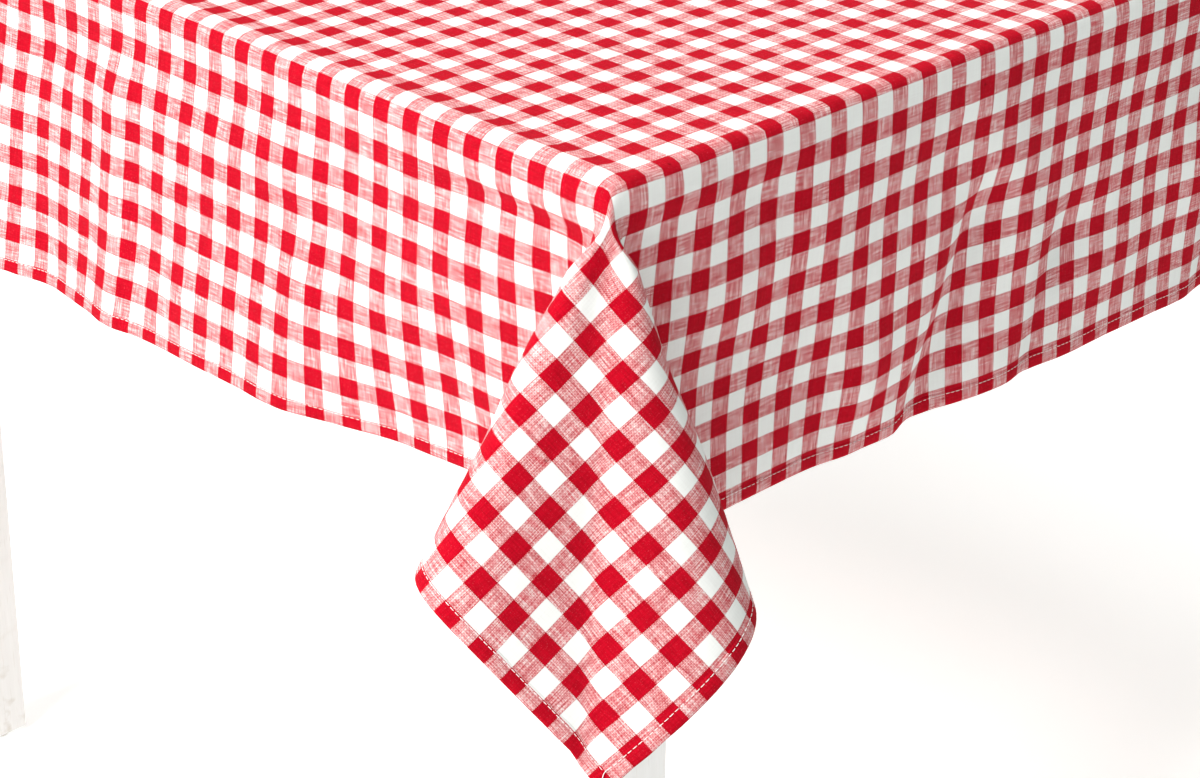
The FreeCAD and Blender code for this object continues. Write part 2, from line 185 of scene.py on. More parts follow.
def start_shape(u, v):
    """Where cloth point (u, v), measured from the cloth's middle, starts: an unstretched shape on the table."""
    flat_x, flat_y = u + SHIFT_X, v + SHIFT_Y
    sign_x, sign_y = np.sign(flat_x), np.sign(flat_y)
    out_x, down_x = over_the_edge(flat_x)
    out_y, down_y = over_the_edge(flat_y)

    lean_x = np.where(sign_x < 0, DROP_LEAN["left"], DROP_LEAN["right"]) * smoothstep(0, LEAN_FADE, down_x)
    lean_y = np.where(sign_y < 0, DROP_LEAN["front"], DROP_LEAN["back"]) * smoothstep(0, LEAN_FADE, down_y)
    over_x = down_x >= down_y
    x = sign_x * (out_x + np.where(over_x, np.sin(lean_x) * down_x, 0))
    y = sign_y * (out_y + np.where(over_x, 0, np.sin(lean_y) * down_y))
    z = TABLE_TOP + LIE - np.where(over_x, np.cos(lean_x) * down_x, np.cos(lean_y) * down_y)
    result = np.stack([x, y, z], -1)
    directions = fold_directions(FOLD_LEFT, FOLD_RIGHT, LEAN_LEFT, LEAN_RIGHT)
    # distances past the corner of the table: how far down where the cloth is over the edge, how far in elsewhere
    past_x = np.where(down_x > 0, down_x, np.abs(flat_x) - HALF_TOP)
    past_y = np.where(down_y > 0, down_y, np.abs(flat_y) - HALF_TOP)
    hang = np.maximum(down_x, down_y)
    along = np.maximum(-np.minimum(past_x, past_y), 0.0)
    weight = (1 - smoothstep(CONE_END[0], CONE_END[1], along)) * smoothstep(
        CONE_START[0], CONE_START[1] + CONE_SPREAD * along, hang
    )
    corner = HALF_TOP + LIE
    placed = cone(past_x, past_y, directions)
    for sx in (-1, 1):
        for sy in (-1, 1):
            p = np.stack([sx * (corner - SWING[sx] * placed[..., 0]), sy * (corner - placed[..., 1]),
                          TABLE_TOP + LIE + placed[..., 2]], -1)
            here = (weight * (sign_x == sx) * (sign_y == sy))[..., None]
            result = result * (1 - here) + p * here
    return result


def distance_in_plan(p, half, corner):
    """Signed distance from points to a square with rounded corners, seen from above."""
    qx, qy = np.abs(p[..., 0]) - (half - corner), np.abs(p[..., 1]) - (half - corner)
    return np.hypot(np.maximum(qx, 0), np.maximum(qy, 0)) + np.minimum(np.maximum(qx, qy), 0) - corner


def distance_to_top(p):
    """Signed distance from points to the table's rounded top."""
    plan = distance_in_plan(p, HALF_TOP, TOP_CORNER)
    a, b = plan + TOP_EDGE, p[..., 2] - (TABLE_TOP - TOP_EDGE)
    return np.hypot(np.maximum(a, 0), np.maximum(b, 0)) + np.minimum(np.maximum(a, b), 0) - TOP_EDGE


def distance_to_legs(p):
    """Signed distance in plan from points to the square that the legs stand in."""
    return distance_in_plan(p, LEGS_OUTSIDE, LEGS_CORNER)


def slope_of(distance_to, points):
    """How fast a distance grows along each axis."""
    here = distance_to(points)
    return np.stack([distance_to(points + SLOPE_PROBE * axis) - here for axis in np.eye(3)], -1) / SLOPE_PROBE


def clear_of_table(points, gap):
    """Moves points out of the table's top, to at least the gap from it, and eases them out from its legs."""
    for _ in range(CLEARING_PASSES):
        push = np.maximum(gap - distance_to_top(points), 0) * (points[..., 2] > TOP_UNDERSIDE)
        points = points + slope_of(distance_to_top, points) * push[..., None]
    push = EASING * np.log1p(np.exp((LEG_GAP - distance_to_legs(points)) / EASING))
    push = push * (points[..., 2] < TOP_UNDERSIDE)
    return points + slope_of(distance_to_legs, points) * push[..., None]


def cloth_mesh(name, points, weave, closed_across=False):
    """Mesh of quads over a grid of points. weave is each point's place on the flat cloth, in metres."""
    rows, columns = points.shape[:2]
    index = np.arange(rows * columns).reshape(rows, columns)
    if closed_across:
        index = np.concatenate([index, index[:, :1]], axis=1)
        weave = np.concatenate([weave, weave[:, :1]], axis=1)
    quads = np.stack([index[:-1, :-1], index[:-1, 1:], index[1:, 1:], index[1:, :-1]], -1).reshape(-1, 4)
    mesh = bpy.data.meshes.new(name)
    mesh.from_pydata(points.reshape(-1, 3).tolist(), [], quads.tolist())
    flat = np.stack([weave[:-1, :-1], weave[:-1, 1:], weave[1:, 1:], weave[1:, :-1]], -2).reshape(-1, 2)
    layer = mesh.uv_layers.new(name=WEAVE_MAP)
    layer.data.foreach_set("uv", flat.astype(np.float32).ravel())
    mesh.polygons.foreach_set("use_smooth", [True] * len(mesh.polygons))
    mesh.update()
    return mesh


def new_piece(name, mesh):
    piece = bpy.data.objects.new(name, mesh)
    scene.collection.objects.link(piece)
    return piece


def table_colliders():
    """Copies of the table's top and legs for the cloth to touch, in the simulation only."""
    copies = []
    for node in ["table_top"] + ["leg_" + corner for corner in CORNERS]:
        copy = new_piece("collider_" + node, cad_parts[node].data.copy())
        copy.modifiers.new("Collision", "COLLISION")
        copy.collision.thickness_outer = 0.3 * MM
        copy.collision.thickness_inner = 6 * MM
        copy.collision.cloth_friction = 20
        copies.append(copy)
    return copies


def settle(points, weave):
    """Runs the short cloth simulation and returns the points it moves the cloth to."""
    sheet = new_piece("settling", cloth_mesh("settling", points, weave))
    flat = points.reshape(-1, 3)
    still = np.all(np.abs(flat[:, :2]) < HALF_TOP - PINNED_MARGIN, axis=1)
    pins = sheet.vertex_groups.new(name="pins")
    pins.add(np.nonzero(still)[0].tolist(), 1.0, "REPLACE")
    cloth = sheet.modifiers.new("Cloth", "CLOTH")
    settings = cloth.settings
    settings.quality = 8
    settings.mass = 0.15
    settings.air_damping = 3.0
    settings.tension_stiffness = 40
    settings.compression_stiffness = 40
    settings.shear_stiffness = 15
    settings.bending_model = "ANGULAR"
    settings.bending_stiffness = 60
    settings.bending_damping = 2
    settings.tension_damping = 10
    settings.compression_damping = 10
    settings.shear_damping = 10
    settings.vertex_group_mass = "pins"
    settings.effector_weights.gravity = SIM_GRAVITY
    cloth.collision_settings.collision_quality = 3
    cloth.collision_settings.distance_min = 0.8 * MM
    cloth.point_cache.frame_start = 1
    cloth.point_cache.frame_end = SIM_FRAMES
    colliders = table_colliders()
    for number in range(1, SIM_FRAMES + 1):
        scene.frame_set(number)
    shape = sheet.evaluated_get(bpy.context.evaluated_depsgraph_get())
    settled = np.empty(len(flat) * 3, np.float32)
    shape.data.vertices.foreach_get("co", settled)
    scene.frame_set(1)
    for extra in colliders + [sheet]:
        mesh = extra.data
        bpy.data.objects.remove(extra)
        bpy.data.meshes.remove(mesh)
    return settled.reshape(points.shape).astype(float)


def finer(values):
    """Doubles a grid's resolution in both directions, with smooth cubic steps between its points."""
    for axis in (0, 1):
        p = np.moveaxis(values, axis, 0)
        padded = np.concatenate([2 * p[:1] - p[1:2], p, 2 * p[-1:] - p[-2:-1]])
        halfway = (9 * (padded[1:-2] + padded[2:-1]) - padded[:-3] - padded[3:]) / 16
        doubled = np.empty((2 * len(p) - 1,) + p.shape[1:])
        doubled[0::2] = p
        doubled[1::2] = halfway
        values = np.moveaxis(doubled, 0, axis)
    return values


def grid_normals(points):
    """Outward normals of a grid of points: up where the cloth lies on the table."""
    across = np.gradient(points, axis=1)
    along = np.gradient(points, axis=0)
    normals = np.cross(across, along)
    return normals / np.linalg.norm(normals, axis=-1, keepdims=True)


# Soft creases: start and end on the flat cloth, height in metres (below zero is a dent), how wide each side is, and
# how far from its start it reaches its height
CREASES = (
    ((-0.105, -0.480), (-0.165, -0.650), -0.0085, 0.016, 0.034, 0.05),
    ((-0.020, -0.520), (-0.060, -0.650), -0.0050, 0.014, 0.030, 0.05),
    ((-0.205, -0.545), (-0.230, -0.650), 0.0035, 0.022, 0.018, 0.05),
    ((0.120, -0.500), (0.105, -0.650), 0.0045, 0.030, 0.022, 0.05),
    ((-0.455, 0.026), (-0.650, 0.020), 0.0055, 0.022, 0.018, 0.05),
    ((-0.450, 0.120), (-0.650, 0.100), -0.0050, 0.024, 0.034, 0.05),
    ((-0.440, 0.230), (-0.650, 0.220), 0.0260, 0.100, 0.090, 0.21),
    ((-0.520, -0.160), (-0.650, -0.150), 0.0040, 0.030, 0.024, 0.05),
    ((0.470, -0.120), (0.650, -0.090), 0.0090, 0.034, 0.024, 0.12),
    ((0.460, 0.090), (0.650, 0.120), -0.0070, 0.024, 0.034, 0.05),
    ((-0.080, 0.470), (-0.110, 0.650), 0.0090, 0.034, 0.022, 0.12),
    ((0.150, 0.480), (0.190, 0.650), -0.0070, 0.024, 0.034, 0.05),
)
# Faint waves all over the hanging cloth: cycles for each metre along u and v, and height
WAVES = ((7.3, 2.1, 0.0007), (3.7, -6.9, 0.0006), (12.1, 5.3, 0.0003), (-4.9, 14.7, 0.0003))
# Creases and waves grow from nothing over this much height below the table's top
CREASE_FADE = 0.06
# The face of each fold is rounded by this much, as shares of the distance from the table's corner: how far its
# middle comes forward, and how far to each side that reaches
FACE_RISE = 0.05
FACE_MIDDLE = 0.30
FACE_SIDES = 0.42


def rounded_faces(u, v):
    """Height that brings the middle of each corner's fold forward and takes its sides back a little."""
    beyond = np.maximum((np.abs(u) + np.abs(v)) / math.sqrt(2) - HALF_TOP * math.sqrt(2), 1e-6)
    across = (np.abs(u) - np.abs(v)) / math.sqrt(2) / beyond
    profile = (np.exp(-(across / FACE_MIDDLE) ** 2) - 0.5) * np.exp(-np.minimum(across / FACE_SIDES, 3) ** 4)
    return FACE_RISE * beyond * profile


def creased(points, weave):
    """Adds the rounded faces, soft creases and faint waves to the hanging cloth, along its normals."""
    u, v = weave[..., 0], weave[..., 1]
    height = rounded_faces(u, v)
    for (u0, v0), (u1, v1), rise, first_width, second_width, fade in CREASES:
        length = math.hypot(u1 - u0, v1 - v0)
        along = ((u - u0) * (u1 - u0) + (v - v0) * (v1 - v0)) / length
        across = ((u - u0) * (v1 - v0) - (v - v0) * (u1 - u0)) / length
        width = np.where(across < 0, second_width, first_width)
        height += rise * np.exp(-(across / width) ** 2) * smoothstep(0, fade, along)
    for along_u, along_v, rise in WAVES:
        height += rise * np.sin(math.tau * (along_u * u + along_v * v))
    hanging = smoothstep(TABLE_TOP, TABLE_TOP - CREASE_FADE, points[..., 2])
    return points + grid_normals(points) * (height * hanging)[..., None]


edge = np.linspace(-CLOTH_SIDE / 2, CLOTH_SIDE / 2, CELLS + 1)
cloth_weave = np.stack(np.meshgrid(edge, edge), -1)
cloth_points = clear_of_table(start_shape(cloth_weave[..., 0], cloth_weave[..., 1]), LIE)
cloth_points += SETTLED_SHARE * (settle(cloth_points, cloth_weave) - cloth_points)
cloth_points = creased(finer(cloth_points), finer(cloth_weave))
cloth_weave = finer(cloth_weave)
cloth_points = clear_of_table(cloth_points, LIE / 2)
cloth_normals = grid_normals(cloth_points)


def on_cloth(u, v, lift=0.0):
    """Points on the finished cloth at flat places (u, v), lifted along its normal."""
    last = cloth_points.shape[0] - 1
    column = np.clip((u / CLOTH_SIDE + 0.5) * last, 0, last - 1e-9)
    row = np.clip((v / CLOTH_SIDE + 0.5) * last, 0, last - 1e-9)
    c, r = np.floor(column).astype(int), np.floor(row).astype(int)
    fc, fr = (column - c)[..., None], (row - r)[..., None]

    def blend(grid):
        near = grid[r, c] * (1 - fc) + grid[r, c + 1] * fc
        far = grid[r + 1, c] * (1 - fc) + grid[r + 1, c + 1] * fc
        return near * (1 - fr) + far * fr

    normal = blend(cloth_normals)
    normal /= np.linalg.norm(normal, axis=-1, keepdims=True)
    return blend(cloth_points) + normal * np.asarray(lift)[..., None]


# --- hems and stitching ------------------------------------------------------------------------------------

HEM_WIDTH = 10 * MM
# Cross-section of the double-turned hem, from its inner fold over the outer face, round the edge and back under:
# distance in from the cloth's edge, and height above the cloth
HEM_SECTION = (
    (10.3, -0.10), (9.9, 0.22), (9.0, 0.30), (8.3, 0.16), (7.4, 0.38), (5.5, 0.50), (3.0, 0.50), (1.2, 0.42),
    (0.3, 0.15), (0.0, -0.40), (0.3, -1.00), (1.2, -1.35), (3.5, -1.45), (7.2, -1.35), (8.3, -1.00),
    (9.1, -1.30), (9.8, -1.05), (10.3, -0.60),
)
HEM_STEPS = 320
HEM_OVERLAP = 0.9 * MM
HEM_SIDES = {"left": (-1, 0), "right": (1, 0), "front": (0, -1), "back": (0, 1)}


def edge_place(side, along, inward):
    """Flat cloth coordinates of a place beside an edge: how far along it, and how far in from it."""
    sx, sy = HEM_SIDES[side]
    reach = CLOTH_SIDE / 2 - inward
    if sx:
        return sx * reach, along * np.ones_like(inward)
    return along * np.ones_like(inward), sy * reach


def hem(side):
    """Closed strip of doubled cloth along one edge. The front and back hems overlap the others at the corners."""
    section = np.array(HEM_SECTION) * MM
    along = np.linspace(-CLOTH_SIDE / 2, CLOTH_SIDE / 2, HEM_STEPS + 1)[:, None]
    inward = np.broadcast_to(section[:, 0], (HEM_STEPS + 1, len(section)))
    height = np.broadcast_to(section[:, 1], inward.shape).copy()
    from_corner = CLOTH_SIDE / 2 - np.abs(along)
    outer_layer = height > -0.4 * MM
    if side in ("front", "back"):
        near_corner = 1 - smoothstep(HEM_WIDTH, 1.6 * HEM_WIDTH, from_corner)
        height += np.where(outer_layer, 1, -1) * HEM_OVERLAP * near_corner
    # the seam pulls the hem in a little between its stitches
    pucker = np.sin(math.tau * along / 0.031) + np.sin(math.tau * along / 0.019 + 1.0)
    height += 0.10 * MM * pucker * (inward > 2 * MM)
    u, v = edge_place(side, along, inward)
    points = on_cloth(u, v, height)
    turned_under = np.where(outer_layer, inward, -inward)
    weave = np.stack(edge_place(side, along, turned_under), -1)
    piece = new_piece("hem_" + side, cloth_mesh("hem_" + side, points, weave, closed_across=True))
    cap_ends(piece.data, len(section))
    return piece


def cap_ends(mesh, around):
    """Closes the two open ends of a swept strip."""
    work = bmesh.new()
    work.from_mesh(mesh)
    work.verts.ensure_lookup_table()
    count = len(work.verts)
    work.faces.new([work.verts[k] for k in range(around)])
    work.faces.new([work.verts[count - 1 - k] for k in range(around)])
    bmesh.ops.recalc_face_normals(work, faces=work.faces)
    work.to_mesh(mesh)
    work.free()


STITCH_PITCH = 3.7 * MM
STITCH_LENGTH = 3.1 * MM
STITCH_RADIUS = 0.24 * MM
STITCH_INWARD = 8.3 * MM
STITCH_SIDES = 6
# Along one stitch: place, thickness, and height above the hem, as shares of its length, radius and radius
STITCH_RINGS = (
    (0.0, 0.15, -1.6), (0.08, 0.8, -0.4), (0.3, 1.0, 0.5), (0.7, 1.0, 0.5), (0.92, 0.8, -0.4), (1.0, 0.15, -1.6),
)


def stitches(side):
    """A row of lockstitches through one hem, seen on both of its faces."""
    count = int((CLOTH_SIDE - 2 * STITCH_INWARD) / STITCH_PITCH)
    starts = (np.arange(count) - count / 2) * STITCH_PITCH
    wander = 0.12 * MM * np.sin(starts * 210) + 0.10 * MM * np.sin(starts * 77 + 2)
    ring = np.array(STITCH_RINGS)
    turn = np.arange(STITCH_SIDES) * math.tau / STITCH_SIDES
    vertices, faces = [], []
    for face_sign, surface in ((1, 0.16 * MM), (-1, -1.00 * MM)):
        along = starts[:, None, None] + ring[None, :, None, 0] * STITCH_LENGTH
        inward = STITCH_INWARD + wander[:, None, None] + ring[None, :, None, 1] * STITCH_RADIUS * np.cos(turn)
        lift = surface + face_sign * STITCH_RADIUS * (
            0.35 + ring[None, :, None, 2] + ring[None, :, None, 1] * np.sin(turn)
        )
        along, inward, lift = np.broadcast_arrays(along, inward, lift)
        points = on_cloth(*edge_place(side, along, inward), lift)
        base = sum(len(v) for v in vertices)
        index = base + np.arange(points[..., 0].size).reshape(points.shape[:3])
        around = np.roll(index, -1, axis=2)
        quads = np.stack([index[:, :-1], around[:, :-1], around[:, 1:], index[:, 1:]], -1).reshape(-1, 4)
        ends = np.concatenate([index[:, 0, ::-1], index[:, -1]])
        vertices.append(points.reshape(-1, 3))
        faces += quads.tolist() + ends.tolist()
    mesh = bpy.data.meshes.new("stitches_" + side)
    mesh.from_pydata(np.concatenate(vertices).tolist(), [], faces)
    mesh.polygons.foreach_set("use_smooth", [True] * len(mesh.polygons))
    return new_piece("stitches_" + side, mesh)


# Loose end of the hem thread at the front-left corner: places on the flat cloth and heights, in millimetres
THREAD_TAIL = ((13.0, 8.4, 0.6), (9.5, 9.2, 1.6), (6.5, 8.0, 2.4), (4.6, 5.6, 2.1), (4.2, 3.4, 1.5), (5.3, 1.6, 1.3))


def thread_tail():
    """Short cut end of thread that curls on the hem's corner."""
    route = np.array(THREAD_TAIL) * MM
    start = CLOTH_SIDE / 2
    points = on_cloth(-start + route[:, 0], -start + route[:, 1], route[:, 2])
    curve = bpy.data.curves.new("thread_end", "CURVE")
    curve.dimensions = "3D"
    curve.bevel_depth = STITCH_RADIUS
    curve.bevel_resolution = 3
    curve.use_fill_caps = True
    spline = curve.splines.new("NURBS")
    spline.points.add(len(points) - 1)
    for point, place in zip(spline.points, points):
        point.co = (*place, 1.0)
    spline.order_u = 3
    spline.use_endpoint_u = True
    loose = bpy.data.objects.new("thread_end", curve)
    scene.collection.objects.link(loose)
    mesh = bpy.data.meshes.new_from_object(loose.evaluated_get(bpy.context.evaluated_depsgraph_get()))
    bpy.data.objects.remove(loose)
    return new_piece("thread_end", mesh)


cloth = new_piece("gingham_cloth", cloth_mesh("gingham_cloth", cloth_points, cloth_weave))
hems = [hem(side) for side in HEM_SIDES]
seams = [stitches(side) for side in HEM_SIDES] + [thread_tail()]

# --- materials ---------------------------------------------------------------------------------------------


class Shader:
    """A material and short ways to add nodes to it."""

    def __init__(self, name, **constants):
        self.material = bpy.data.materials.new(name)
        self.material.use_nodes = True
        self.tree = self.material.node_tree
        self.surface = self.tree.nodes["Principled BSDF"]
        for socket, value in constants.items():
            self.surface.inputs[socket.replace("_", " ")].default_value = value

    def node(self, kind, inputs=None, **settings):
        node = self.tree.nodes.new("ShaderNode" + kind)
        for key, value in settings.items():
            setattr(node, key, value)
        for key, value in (inputs or {}).items():
            self.join(value, node.inputs[key])
        return node

    def join(self, value, socket):
        if isinstance(value, bpy.types.NodeSocket):
            self.tree.links.new(value, socket)
        else:
            socket.default_value = value

    def maths(self, operation, *values):
        node = self.node("Math", operation=operation)
        for socket, value in zip(node.inputs, values):
            self.join(value, socket)
        return node.outputs[0]

    def spread(self, value, low, high, to_low=0.0, to_high=1.0):
        """Maps a value from one range to another, and keeps it inside."""
        inputs = {"Value": value, "From Min": low, "From Max": high, "To Min": to_low, "To Max": to_high}
        return self.node("MapRange", inputs).outputs[0]

    def vector(self, x, y, z):
        return self.node("CombineXYZ", {"X": x, "Y": y, "Z": z}).outputs[0]

    def noise(self, vector, scale=1.0, detail=2.0, distortion=0.0):
        inputs = {"Vector": vector, "Scale": scale, "Detail": detail, "Distortion": distortion}
        return self.node("TexNoise", inputs).outputs[0]

    def ramp(self, value, stops):
        ramp = self.node("ValToRGB", {"Fac": value})
        elements = ramp.color_ramp.elements
        while len(elements) < len(stops):
            elements.new(0.5)
        for element, (position, colour) in zip(elements, stops):
            element.position = position
            element.color = (*colour, 1.0)
        return ramp.outputs[0]

    def tinted(self, colour, amount, tint):
        """Multiplies a colour by a tint where amount is 1."""
        mix = self.node("Mix", data_type="RGBA", blend_type="MULTIPLY")
        self.join(amount, mix.inputs["Factor"])
        self.join(colour, mix.inputs["A"])
        mix.inputs["B"].default_value = (*tint, 1.0)
        return mix.outputs["Result"]

    def object_place(self):
        return self.node("TexCoord").outputs["Object"]

    def finish(self, colour, roughness, height, bump_distance, bump_strength=0.6):
        self.join(colour, self.surface.inputs["Base Color"])
        self.join(roughness, self.surface.inputs["Roughness"])
        bump = self.node("Bump", {"Height": height, "Strength": bump_strength, "Distance": bump_distance})
        self.join(bump.outputs[0], self.surface.inputs["Normal"])
        return self.material


WHITE_COTTON = (0.80, 0.815, 0.79)
PALE_PINK = (0.72, 0.45, 0.44)
MID_PINK = (0.64, 0.24, 0.245)
DEEP_PINK = (0.54, 0.07, 0.09)
RED_COTTON = (0.47, 0.002, 0.014)


def gingham():
    """Plain-woven gingham: dyed and white stripes of thread both ways, in the cloth's own coordinates."""
    s = Shader("red_gingham", Sheen_Weight=0.02, Sheen_Roughness=0.5, Specular_IOR_Level=0.03)
    place = s.node("UVMap", uv_map=WEAVE_MAP).outputs[0]
    split = s.node("SeparateXYZ", {"Vector": place})
    wander = s.node("SeparateXYZ", {"Vector": s.node("TexNoise", {"Vector": place, "Scale": 38.0}).outputs[1]})
    repeats = []
    for axis, first in (("X", FIRST_STRIPE_LEFT), ("Y", FIRST_STRIPE_FRONT)):
        shifted = s.maths("MULTIPLY_ADD", wander.outputs[axis], 0.5 * MM, split.outputs[axis])
        start = CLOTH_SIDE / 2 - first - 0.25 * MM
        repeats.append(s.maths("ADD", s.maths("DIVIDE", s.maths("ADD", shifted, start), REPEAT), 0.25))
    dyed = [s.maths("LESS_THAN", s.maths("FRACT", r), 0.5) for r in repeats]
    threads = [s.maths("MULTIPLY", r, THREADS_PER_REPEAT) for r in repeats]
    number = s.maths("ADD", s.maths("FLOOR", threads[0]), s.maths("FLOOR", threads[1]))
    warp_over = s.maths("FLOORED_MODULO", number, 2.0)
    # slubs: thick and thin places along each thread, both ways
    warp_slub = s.noise(s.vector(threads[0], s.maths("MULTIPLY", threads[1], 0.055), 3.7), 0.9, 2.0)
    weft_slub = s.noise(s.vector(s.maths("MULTIPLY", threads[0], 0.055), threads[1], 9.1), 0.9, 2.0)
    lead = s.maths("SUBTRACT", warp_slub, weft_slub)
    crossing = s.maths("MULTIPLY_ADD", s.maths("SUBTRACT", warp_over, 0.5), 0.42, 0.5)
    warp_share = s.node("Math", operation="MULTIPLY_ADD", use_clamp=True)
    for socket, value in zip(warp_share.inputs, (lead, 1.25, crossing)):
        s.join(value, socket)
    warp_share = warp_share.outputs[0]
    weft_share = s.maths("SUBTRACT", 1.0, warp_share)
    redness = s.maths("ADD", s.maths("MULTIPLY", dyed[0], warp_share), s.maths("MULTIPLY", dyed[1], weft_share))
    # specks where the undyed core of a thread shows
    specks = s.spread(s.noise(s.vector(threads[0], threads[1], 5.3), 0.8, 1.0), 0.62, 0.80, 0.0, 0.14)
    redness = s.maths("SUBTRACT", redness, s.maths("MULTIPLY", redness, specks))
    colour = s.ramp(redness, (
        (0.0, WHITE_COTTON), (0.22, PALE_PINK), (0.5, MID_PINK), (0.78, DEEP_PINK), (1.0, RED_COTTON),
    ))
    # faded and darker threads, reed marks beside the stripes, and neps
    shade = s.spread(s.maths("ADD", warp_slub, weft_slub), 0.8, 1.3)
    colour = s.tinted(colour, s.maths("MULTIPLY", shade, s.maths("ADD", redness, 0.15)), (0.72, 0.66, 0.66))
    for r in repeats:
        from_border = s.maths("ABSOLUTE", s.maths("SUBTRACT", s.maths("FRACT", s.maths("MULTIPLY", r, 2.0)), 0.5))
        colour = s.tinted(colour, s.spread(from_border, 0.455, 0.495), (0.90, 0.87, 0.87))
    neps = s.node("TexVoronoi", {"Vector": place, "Scale": 24.0})
    colour = s.tinted(colour, s.spread(neps.outputs["Distance"], 0.012, 0.034, 1.0, 0.0), (0.62, 0.52, 0.52))
    washed = s.noise(place, 9.0, 3.0)
    colour = s.tinted(colour, s.spread(washed, 0.35, 0.7), (0.95, 0.95, 0.95))
    crowns = [s.maths("ABSOLUTE", s.maths("SINE", s.maths("MULTIPLY", t, math.pi))) for t in threads]
    height = s.maths("ADD", s.maths("MULTIPLY", crowns[0], warp_share), s.maths("MULTIPLY", crowns[1], weft_share))
    height = s.maths("MULTIPLY_ADD", s.maths("ADD", warp_slub, weft_slub), 0.8, height)
    roughness = s.spread(washed, 0.3, 0.7, 0.82, 0.93)
    return s.finish(colour, roughness, height, 0.22 * MM, 0.55)


def sewing_thread():
    """White sewing thread: two strands twisted together, with painted shade in the grooves between them."""
    s = Shader("white_thread", Sheen_Weight=0.3, Sheen_Roughness=0.4)
    place = s.object_place()
    twist_with_groove_shade = s.node("TexWave", {"Vector": place, "Scale": 420.0, "Distortion": 3.0}, bands_direction="DIAGONAL")
    fuzz = s.noise(place, 900.0, 3.0)
    # painted shade: the thread's colour is darker where the twist is low, in the grooves between the two strands
    colour = s.ramp(twist_with_groove_shade.outputs["Fac"], ((0.0, (0.72, 0.68, 0.66)), (1.0, (0.88, 0.86, 0.84))))
    colour = s.tinted(colour, s.spread(fuzz, 0.3, 0.7), (0.9, 0.88, 0.88))
    height = s.maths("MULTIPLY_ADD", fuzz, 0.4, twist_with_groove_shade.outputs["Fac"])
    return s.finish(colour, s.spread(fuzz, 0.3, 0.7, 0.6, 0.8), height, 0.1 * MM)


# Woods: pale sapwood, heartwood and pore colours
BEECH = ((0.58, 0.38, 0.22), (0.43, 0.25, 0.13), (0.22, 0.11, 0.05))
BIRCH = ((0.66, 0.50, 0.32), (0.55, 0.38, 0.22), (0.36, 0.22, 0.11))
PAINT = (0.80, 0.80, 0.785)
PAINT_SHADE = (0.73, 0.73, 0.71)
BOARD_WIDTH = 0.1215


def wood(name, tones, grain_axis, boards=False):
    """Satin-varnished wood with its grain along one axis: growth bands, fibres and pores."""
    s = Shader(name, Coat_Weight=0.18, Coat_Roughness=0.35, Specular_IOR_Level=0.4)
    axes = dict(zip("XYZ", s.node("SeparateXYZ", {"Vector": s.object_place()}).outputs))
    across = [axes[a] for a in "XYZ" if a != grain_axis]
    along = axes[grain_axis]
    joint = None
    if boards:
        board = s.maths("DIVIDE", across[0], BOARD_WIDTH)
        offset = s.node("TexWhiteNoise", {"W": s.maths("FLOOR", board)}, noise_dimensions="1D").outputs["Value"]
        along = s.maths("MULTIPLY_ADD", offset, 3.0, along)
        across[1] = s.maths("MULTIPLY_ADD", offset, 0.4, across[1])
        joint = s.maths("ABSOLUTE", s.maths("SUBTRACT", s.maths("FRACT", board), 0.5))
    slow = s.vector(across[0], across[1], s.maths("MULTIPLY", along, 0.09))
    fine = s.vector(across[0], across[1], s.maths("MULTIPLY", along, 0.03))
    drift = s.noise(slow, 7.0, 3.0, 0.6)
    bands = s.maths("FRACT", s.maths("MULTIPLY", drift, 13.0))
    bands = s.spread(s.maths("ABSOLUTE", s.maths("SUBTRACT", bands, 0.5)), 0.0, 0.5)
    fibres = s.noise(fine, 420.0, 4.0, 0.2)
    pores = s.spread(s.noise(fine, 900.0, 2.0), 0.60, 0.68)
    tone = s.maths("ADD", s.maths("MULTIPLY", bands, 0.55), s.maths("MULTIPLY", fibres, 0.5))
    colour = s.ramp(tone, ((0.12, tones[0]), (0.85, tones[1])))
    colour = s.tinted(colour, s.maths("MULTIPLY", pores, 0.55), tuple(t / tones[1][0] for t in tones[2]))
    patchy = s.noise(slow, 3.0, 2.0)
    colour = s.tinted(colour, s.spread(patchy, 0.35, 0.7), (0.88, 0.84, 0.80))
    height = s.maths("SUBTRACT", s.maths("MULTIPLY", fibres, 0.5), pores)
    if joint is not None:
        groove = s.spread(joint, 0.494, 0.4995)
        colour = s.tinted(colour, groove, (0.35, 0.28, 0.22))
        height = s.maths("SUBTRACT", height, s.maths("MULTIPLY", groove, 1.5))
    scuffs = s.noise(s.object_place(), 26.0, 5.0)
    roughness = s.maths("ADD", s.spread(scuffs, 0.35, 0.75, 0.36, 0.52), s.maths("MULTIPLY", pores, 0.15))
    return s.finish(colour, roughness, height, 0.12 * MM, 0.5)


